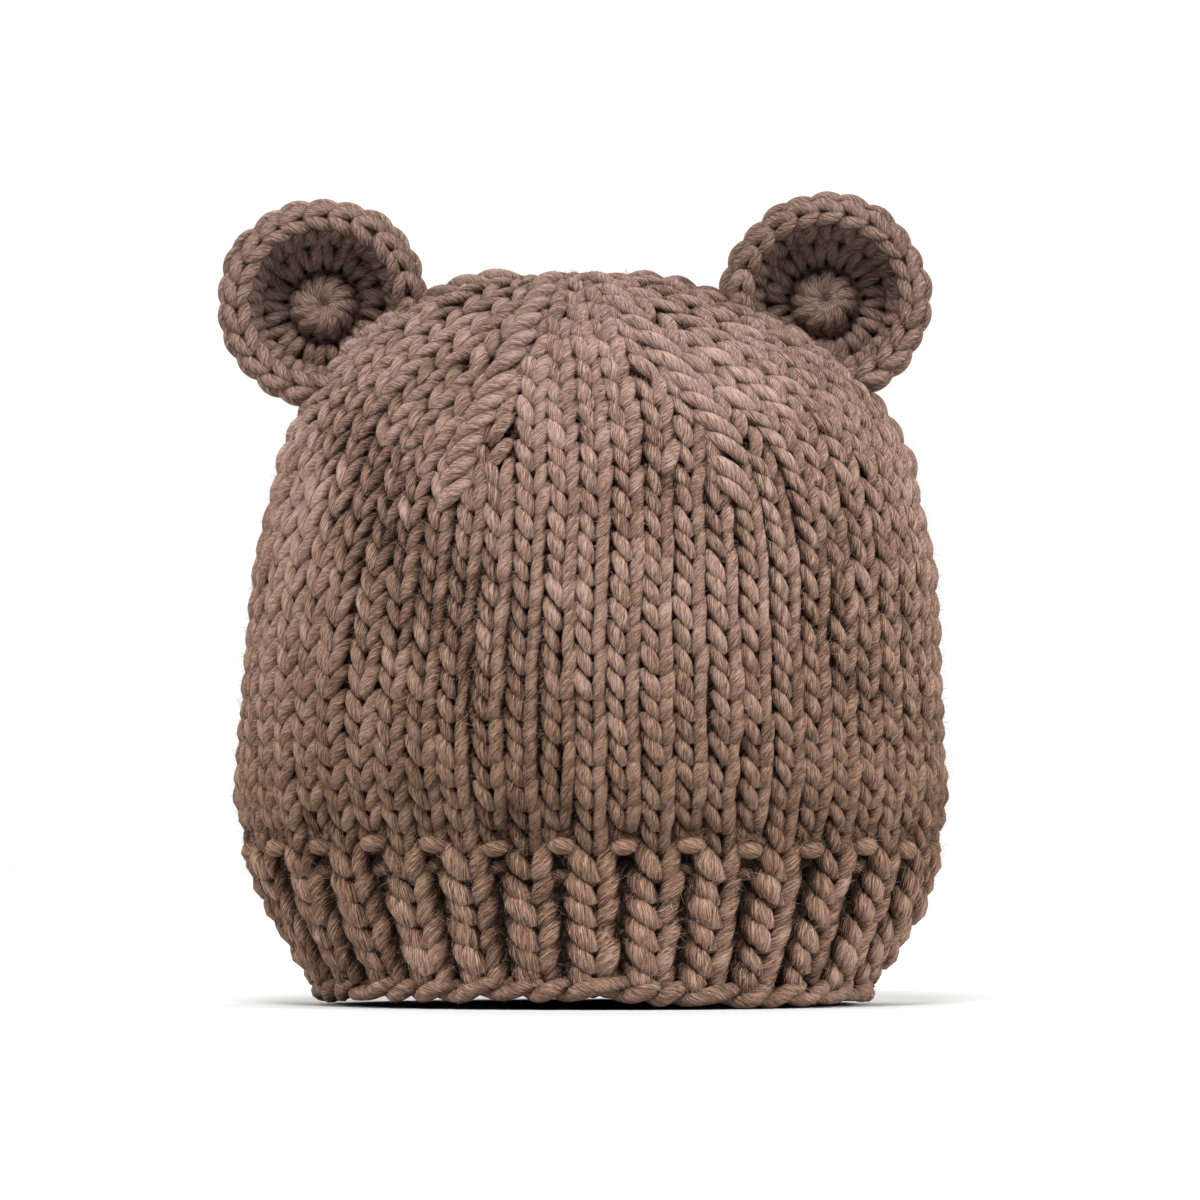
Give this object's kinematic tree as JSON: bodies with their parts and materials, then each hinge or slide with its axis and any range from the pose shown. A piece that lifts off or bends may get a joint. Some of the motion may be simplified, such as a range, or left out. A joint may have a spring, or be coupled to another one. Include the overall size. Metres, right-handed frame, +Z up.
{
  "type": "baby hat with ears",
  "caption": "Hand-knitted baby beanie with a ribbed band that draws in, a rounded crown shaped by decreases and a round crocheted cup ear on each side.",
  "frame": {"origin": "under the middle of the whole hat, ears included, in the plane of the cast-on edge's underside, which is the floor it stands on", "axes": "+Z up from the opening to the crown, -Y to the front, +X to the right as seen from the front, through the right-hand ear in the picture"},
  "size_m": [0.1554, 0.1046, 0.1732],
  "materials": {
    "wool_yarn": "matt thick woollen yarn, taupe brown"
  },
  "bodies": {
    "root": {"crown": "wool_yarn", "rib_band": "wool_yarn", "cast_on_edge": "wool_yarn", "ear_left": "wool_yarn", "ear_right": "wool_yarn"}
  },
  "joints": []
}
